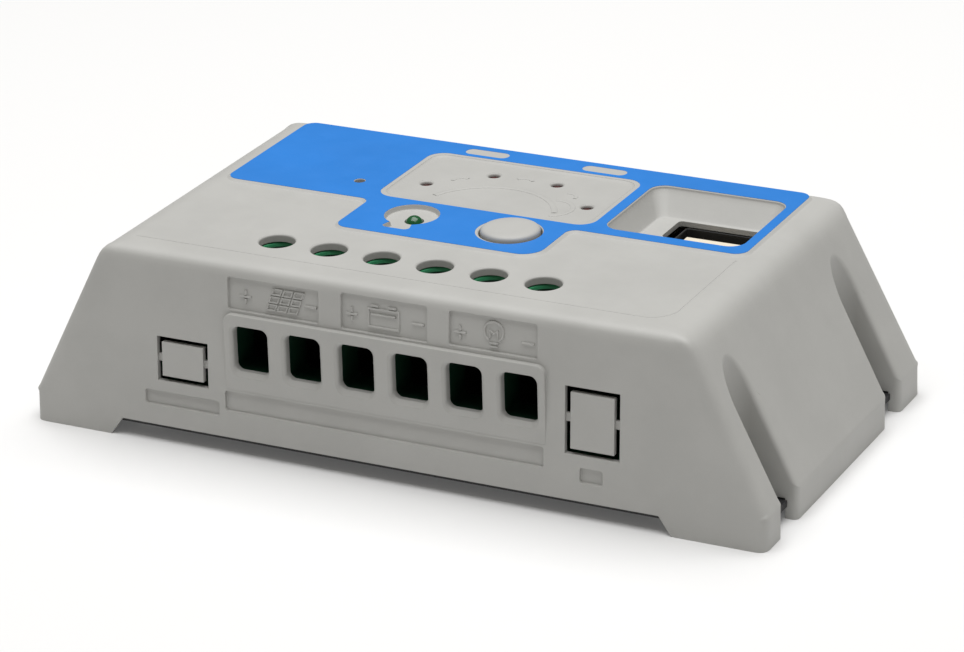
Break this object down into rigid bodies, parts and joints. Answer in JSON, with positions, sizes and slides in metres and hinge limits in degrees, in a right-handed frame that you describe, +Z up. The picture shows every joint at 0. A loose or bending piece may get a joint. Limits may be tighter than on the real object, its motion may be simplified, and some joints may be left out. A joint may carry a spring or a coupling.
{
  "type": "solar charge controller",
  "caption": "Flat wedge-sided solar charge controller case with a row of wire clamps, status lamps, one push button and a USB pocket.",
  "frame": {"origin": "under the middle of the case, on the surface that its feet stand on", "axes": "+X along the case to the right seen from the terminal side, +Y from the terminal side to the back, +Z up"},
  "size_m": [0.13, 0.0668, 0.0338],
  "materials": {
    "case": "fine satin texture",
    "label": "smooth satin print",
    "base": "black powder coat",
    "terminal_housing": "moulded",
    "board": "solder mask",
    "plated_steel": "zinc plated",
    "tinned_contact": "tin plated",
    "black_part": "moulded",
    "usb_insulator": "moulded",
    "red_lens": "clear dyed lens",
    "green_lens": "clear dyed lens",
    "clear_lens": "clear lens",
    "thermal_pad": "soft pad",
    "winding": "enamelled wire",
    "capacitor_sleeve": "shrink sleeve"
  },
  "bodies": {
    "case": {"top_cover": "case", "base_plate": "base", "label_overlay": "label", "switch_body": "black_part", "pcb": "board", "terminal_block": "terminal_housing", "usb_shell": "black_part", "usb_insulator": "usb_insulator", "microcontroller": "black_part", "usb_regulator": "black_part", "thermal_pad": "thermal_pad", "capacitor_1": "capacitor_sleeve", "capacitor_2": "capacitor_sleeve", "inductor": "winding", "led_green": "green_lens", "led_solar": "clear_lens", "contact_bar_1": "tinned_contact", "contact_bar_2": "tinned_contact", "contact_bar_3": "tinned_contact", "contact_bar_4": "tinned_contact", "contact_bar_5": "tinned_contact", "contact_bar_6": "tinned_contact", "led_red_1": "red_lens", "mosfet_1": "black_part", "base_screw_1": "plated_steel", "pcb_screw_1": "plated_steel", "led_red_2": "red_lens", "mosfet_2": "black_part", "base_screw_2": "plated_steel", "pcb_screw_2": "plated_steel", "led_red_3": "red_lens", "mosfet_3": "black_part", "base_screw_3": "plated_steel", "pcb_screw_3": "plated_steel", "led_red_4": "red_lens", "mosfet_4": "black_part", "base_screw_4": "plated_steel", "pcb_screw_4": "plated_steel"},
    "button": {"button_cap": "case", "switch_plunger": "black_part"},
    "screw_1": {"terminal_screw_1": "plated_steel"},
    "clamp_1": {"clamp_cage_1": "plated_steel"},
    "screw_2": {"terminal_screw_2": "plated_steel"},
    "clamp_2": {"clamp_cage_2": "plated_steel"},
    "screw_3": {"terminal_screw_3": "plated_steel"},
    "clamp_3": {"clamp_cage_3": "plated_steel"},
    "screw_4": {"terminal_screw_4": "plated_steel"},
    "clamp_4": {"clamp_cage_4": "plated_steel"},
    "screw_5": {"terminal_screw_5": "plated_steel"},
    "clamp_5": {"clamp_cage_5": "plated_steel"},
    "screw_6": {"terminal_screw_6": "plated_steel"},
    "clamp_6": {"clamp_cage_6": "plated_steel"}
  },
  "joints": [
    {"name": "button_press", "type": "slide", "parent": "case", "child": "button", "axis": [0, 0, -1], "range_m": [0, 0.0006], "stiffness_N_per_m": 800, "springref_m": -0.0006},
    {"name": "screw_turn_1", "type": "hinge", "parent": "case", "child": "screw_1", "pos_m": [-0.02495, -0.0195, 0.0295], "axis": [0, 0, -1], "range_deg": [0, 2161]},
    {"name": "clamp_lift_1", "type": "slide", "parent": "case", "child": "clamp_1", "axis": [0, 0, 1], "range_m": [0, 0.0042]},
    {"name": "screw_turn_2", "type": "hinge", "parent": "case", "child": "screw_2", "pos_m": [-0.01545, -0.0195, 0.0295], "axis": [0, 0, -1], "range_deg": [0, 2161]},
    {"name": "clamp_lift_2", "type": "slide", "parent": "case", "child": "clamp_2", "axis": [0, 0, 1], "range_m": [0, 0.0042]},
    {"name": "screw_turn_3", "type": "hinge", "parent": "case", "child": "screw_3", "pos_m": [-0.00595, -0.0195, 0.0295], "axis": [0, 0, -1], "range_deg": [0, 2161]},
    {"name": "clamp_lift_3", "type": "slide", "parent": "case", "child": "clamp_3", "axis": [0, 0, 1], "range_m": [0, 0.0042]},
    {"name": "screw_turn_4", "type": "hinge", "parent": "case", "child": "screw_4", "pos_m": [0.00355, -0.0195, 0.0295], "axis": [0, 0, -1], "range_deg": [0, 2161]},
    {"name": "clamp_lift_4", "type": "slide", "parent": "case", "child": "clamp_4", "axis": [0, 0, 1], "range_m": [0, 0.0042]},
    {"name": "screw_turn_5", "type": "hinge", "parent": "case", "child": "screw_5", "pos_m": [0.01305, -0.0195, 0.0295], "axis": [0, 0, -1], "range_deg": [0, 2161]},
    {"name": "clamp_lift_5", "type": "slide", "parent": "case", "child": "clamp_5", "axis": [0, 0, 1], "range_m": [0, 0.0042]},
    {"name": "screw_turn_6", "type": "hinge", "parent": "case", "child": "screw_6", "pos_m": [0.02255, -0.0195, 0.0295], "axis": [0, 0, -1], "range_deg": [0, 2161]},
    {"name": "clamp_lift_6", "type": "slide", "parent": "case", "child": "clamp_6", "axis": [0, 0, 1], "range_m": [0, 0.0042]}
  ],
  "couplings": [
    {"joint": "screw_turn_1", "follows": "clamp_lift_1", "rad_per_m": 8976},
    {"joint": "screw_turn_2", "follows": "clamp_lift_2", "rad_per_m": 8976},
    {"joint": "screw_turn_3", "follows": "clamp_lift_3", "rad_per_m": 8976},
    {"joint": "screw_turn_4", "follows": "clamp_lift_4", "rad_per_m": 8976},
    {"joint": "screw_turn_5", "follows": "clamp_lift_5", "rad_per_m": 8976},
    {"joint": "screw_turn_6", "follows": "clamp_lift_6", "rad_per_m": 8976}
  ]
}
